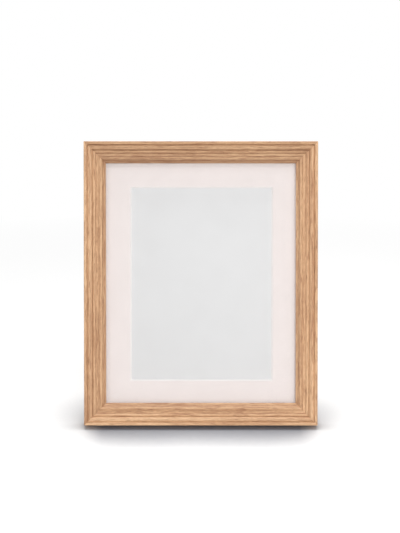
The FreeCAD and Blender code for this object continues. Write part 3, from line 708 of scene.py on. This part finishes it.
def makeFibreboard(name, colour, fleck):
    # felted fibres a few mm long lying every way, pressed smooth
    material, tree, shader = newMaterial(name)
    place = add(tree, "ShaderNodeTexCoord").outputs["Object"]
    swirl = add(tree, "ShaderNodeTexNoise", {"Vector": place, **felt["swirl"]}).outputs["Color"]
    bent = add(tree, "ShaderNodeVectorMath", {0: place, 1: swirl, 2: (felt["swirlShift"],) * 3},
               operation="MULTIPLY_ADD").outputs[0]
    hairs = [noise(tree, stretched(tree, bent, felt["hair"], (0, turn, 0)), *felt["strands"])
             for turn in felt["hairTurns"]]
    hair = calc(tree, "MAXIMUM", hairs[0], calc(tree, "MAXIMUM", hairs[1], hairs[2]))
    cloud = noise(tree, place, *felt["cloud"])
    grit = noise(tree, place, *felt["grit"])
    tone = calc(tree, "ADD", spread(tree, hair, *felt["hairTone"]),
                spread(tree, cloud, *noiseSpan, *felt["cloudRange"]))
    base = mixColour(tree, tone, linear(*[part * felt["darker"] for part in colour]),
                     linear(*[min(255, part * felt["paler"]) for part in colour]))
    marks = calc(tree, "ADD", spread(tree, grit, *felt["gritMarks"]),
                 spread(tree, hairs[1], *felt["gapMarks"]))
    tree.links.new(mixColour(tree, marks, base, linear(*fleck)), shader.inputs["Base Color"])
    height = calc(tree, "ADD", hair, calc(tree, "MULTIPLY", grit, felt["gritRelief"]))
    addBump(tree, shader, height, felt["bump"], felt["bumpDepth"])
    tree.links.new(spread(tree, hair, *felt["hairGloss"]), shader.inputs["Roughness"])
    shader.inputs["Specular IOR Level"].default_value = felt["specular"]
    return material


zinc = makeZinc()
board = makeFibreboard("brownFibreboard", *felt["board"])
card = makeFibreboard("greyCard", *felt["card"])

# Screws, rivets and turn buttons at the back. A head is flat to a share of its radius, then domed
# through a middle point down to a rim of a share of its height.

fastener = {"headRadius": 3.0, "segments": 40, "domeSteps": 8, "seed": 7}
button = {
    "length": 24.0, "width": 8.0, "thick": 1.0, "lift": 0.15, "pivot": 5.0, "soft": 0.2, "steps": 20,
    # the pivot's x and z, and the way the button points when it holds the board
    "places": {"bottom_left": (-62, 7.8, 180), "bottom_right": (62, 7.8, 180),
               "top_left": (-62, 279, 0), "top_right": (62, 279, 0),
               "left_upper": (-110.2, 215.4, -90), "left_lower": (-110.2, 71.4, -90),
               "right_upper": (110.2, 215.4, 90), "right_lower": (110.2, 71.4, 90)},
}
screw = {"headHeight": 1.7, "head": (0.55, (0.86, 0.82), 0.35), "shank": 1.4, "length": 11.0, "tip": 2.5,
         "seat": 1.25, "slotLength": 3.4, "slotWidth": 0.8, "slotDepth": 0.9, "slotTaper": 0.75, "soft": 0.06,
         "turn": 6.28, "spots": [place[:2] for place in button["places"].values()]}
rivet = {"headHeight": 1.0, "head": (0.12, (0.62, 0.69), 0.0), "shank": 1.5, "grip": 3.8, "flare": 0.6,
         "seat": 0.8, "strutSeat": 2.15, "hinge": ((-9, 200), (9, 200)),
         "hangers": ((0, 257.4), (88.6, 143.4)), "strut": ((-9, -10), (9, -10))}


def turned(name, points):
    # spins (radius, along Y) points about Y
    steps = fastener["segments"]
    bm = bmesh.new()
    rings = []
    for radius, along in points:
        if radius == 0:
            rings.append([bm.verts.new((0, along, 0))])
        else:
            rings.append([bm.verts.new((radius * math.cos(2 * math.pi * n / steps), along,
                                        radius * math.sin(2 * math.pi * n / steps))) for n in range(steps)])
    for one, two in zip(rings, rings[1:]):
        for n in range(steps):
            corners = [one[n % len(one)], one[(n + 1) % len(one)], two[(n + 1) % len(two)], two[n % len(two)]]
            bm.faces.new(list(dict.fromkeys(corners)))
    bmesh.ops.recalc_face_normals(bm, faces=bm.faces)
    return newObject(name, finishMesh(bm, name))


def headProfile(height, flat, middle, wall):
    # from the flat top over the dome to the rim
    radius = fastener["headRadius"]
    top, rim = (radius * flat, height), (radius, height * wall)
    points = [(0, height), top]
    points += arcThrough(top, (radius * middle[0], height * middle[1]), rim, fastener["domeSteps"])
    return points + [(radius, 0.0)] if wall else points


def makeScrew():
    # pan head with a cross recess and a pointed shank
    length, shank = screw["length"], screw["shank"]
    body = turned("screw", headProfile(screw["headHeight"], *screw["head"])
                  + [(shank, 0), (shank, screw["tip"] - length), (0, -length)])
    bm = bmesh.new()
    for turn in (0, math.pi / 2):
        made = bmesh.ops.create_cube(bm, size=1.0)["verts"]
        for vertex in made:
            x, y, z = vertex.co
            taper = screw["slotTaper"] if y < 0 else 1.0
            vertex.co = (x * screw["slotLength"] * taper, screw["headHeight"] + y * 2 * screw["slotDepth"],
                         z * screw["slotWidth"] * taper)
        bmesh.ops.rotate(bm, verts=made, matrix=Matrix.Rotation(turn, 3, "Y"))
    recess = newObject("recess", finishMesh(bm, "recess"))
    cut = body.modifiers.new("recess", "BOOLEAN")
    cut.object, cut.operation, cut.solver, cut.use_self = recess, "DIFFERENCE", "EXACT", True
    mesh = evaluated(body)
    bpy.data.objects.remove(recess)
    bevelEdges(mesh, screw["soft"], angle=40, segments=1)
    return newObject("screw", mesh)


def makeRivet():
    # low dome, and a tail that is flared over the board
    shank, grip = rivet["shank"], rivet["grip"]
    return turned("rivet", headProfile(rivet["headHeight"], *rivet["head"])
                  + [(shank, 0), (shank, rivet["flare"] - grip), (shank + rivet["flare"], -grip), (0, -grip)])


def fastenerTree():
    # one fastener on every point, each turned about its axis as the driver left it
    tree, start, end = nodeTree("fasteners", (("Fastener", "Object"), ("Spin", "Float"), ("Seed", "Int"),
                                              ("Finish", "Material")))
    shape = add(tree, "GeometryNodeObjectInfo", {"Object": start.outputs["Fastener"]})
    turn = add(tree, "FunctionNodeRandomValue", {"Seed": start.outputs["Seed"]}, data_type="FLOAT")
    tree.links.new(start.outputs["Spin"], turn.inputs[3])
    way = add(tree, "ShaderNodeCombineXYZ", {"Y": turn.outputs[1]})
    points = add(tree, "GeometryNodeMeshToPoints", {"Mesh": start.outputs["Geometry"]})
    placed = add(tree, "GeometryNodeInstanceOnPoints",
                 {"Points": points.outputs[0], "Instance": shape.outputs["Geometry"],
                  "Rotation": way.outputs[0]})
    return endTree(tree, placed.outputs[0], start.outputs["Finish"], end)


def makeFasteners():
    tree = fastenerTree()
    screwShape, rivetShape = makeScrew(), makeRivet()
    strutPlace = (leanBack @ Matrix.Translation((0, stand["pinLift"], stand["hingeHeight"]))
                  @ Matrix.Rotation(math.radians(stand["strutOpen"]), 4, "X"))
    seat, still = rivet["seat"], 0.0
    # name, shape, spots and how high the head sits, largest turn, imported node, body, place
    sets = (
        ("button_screws", screwShape, screw["spots"], screw["seat"], screw["turn"], "turn_button_screws",
         "frame", leanBack),
        ("leaf_rivets", rivetShape, rivet["hinge"], seat, still, "board_leaf_rivets", "frame", leanBack),
        ("ring_rivets", rivetShape, rivet["hangers"], seat, still, "hanger_rivets", "frame", leanBack),
        ("strut_rivets", rivetShape, rivet["strut"], rivet["strutSeat"], still, "strut_leaf_rivets",
         "easel", strutPlace),
    )
    for number, (name, shape, spots, height, spin, node, body, place) in enumerate(sets):
        points = bpy.data.meshes.new("points")
        points.from_pydata([(x, height, z) for x, z in spots], [], [])
        mesh = runTree(tree, points, {"Fastener": shape, "Spin": spin, "Seed": fastener["seed"] + number,
                                      "Finish": zinc})
        mesh.transform(place)
        keep(mesh, name, body, None, [node], smooth=35)
    bpy.data.objects.remove(screwShape)
    bpy.data.objects.remove(rivetShape)


def makeButtons():
    # stamped strips with round ends, each swung inwards over the board
    half, reach = button["width"] / 2, button["length"] - button["pivot"]
    outline = []
    for middle, first in ((button["pivot"] - half, math.pi), (half - reach, 0.0)):
        for n in range(button["steps"] + 1):
            turn = first - math.pi * (n / button["steps"])
            outline.append((half * math.cos(turn), middle + half * math.sin(turn)))
    for side, (x, z, turn) in button["places"].items():
        bm = bmesh.new()
        base = bm.faces.new([bm.verts.new((a, button["lift"], b)) for a, b in outline])
        raised = bmesh.ops.extrude_face_region(bm, geom=[base])["geom"]
        bmesh.ops.translate(bm, verts=[v for v in raised if isinstance(v, bmesh.types.BMVert)],
                            vec=(0, button["thick"], 0))
        bmesh.ops.recalc_face_normals(bm, faces=bm.faces)
        mesh = finishMesh(bm, "button")
        bevelEdges(mesh, button["soft"], angle=50)
        mesh.transform(leanBack @ Matrix.Translation((x, 0, z)) @ Matrix.Rotation(math.radians(turn), 4, "Y"))
        keep(mesh, "button_" + side, "button_" + side, zinc, ["turn_button_" + side], smooth=40)


makeFasteners()
makeButtons()
print("screws, rivets and turn buttons are on")

softened = {
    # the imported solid's own form with its cut or stamped edges taken off: new name, body, edge in mm
    "easel_strut": ("strut_panel", "easel", 0.25), "backing_board": ("board_panel", "frame", 0.25),
    "hinge_board_leaf": ("leaf_on_board", "frame", 0.1), "hinge_strut_leaf": ("leaf_on_strut", "easel", 0.1),
    "portrait_hanger_strap": ("strap_portrait", "frame", 0.12),
    "landscape_hanger_strap": ("strap_landscape", "frame", 0.12),
}


def makeSoftened():
    for node, (name, body, edge) in softened.items():
        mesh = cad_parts[node].data.copy()
        mesh.materials.clear()
        bevelEdges(mesh, edge * mm, angle=40, flat=0.5)
        panel = "panel" in name
        keep(mesh, name, body, board if panel else zinc, [node])


makeSoftened()
print("panels, leaves and straps have their edges off")

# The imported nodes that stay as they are: card, nails, rings and pin.
for name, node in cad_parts.items():
    if node.hide_render or name == "glazing_pane":
        continue
    node.data.materials.clear()
    node.data.materials.append(card if name == "filler_card" else zinc)
print("packed nodes are dressed")
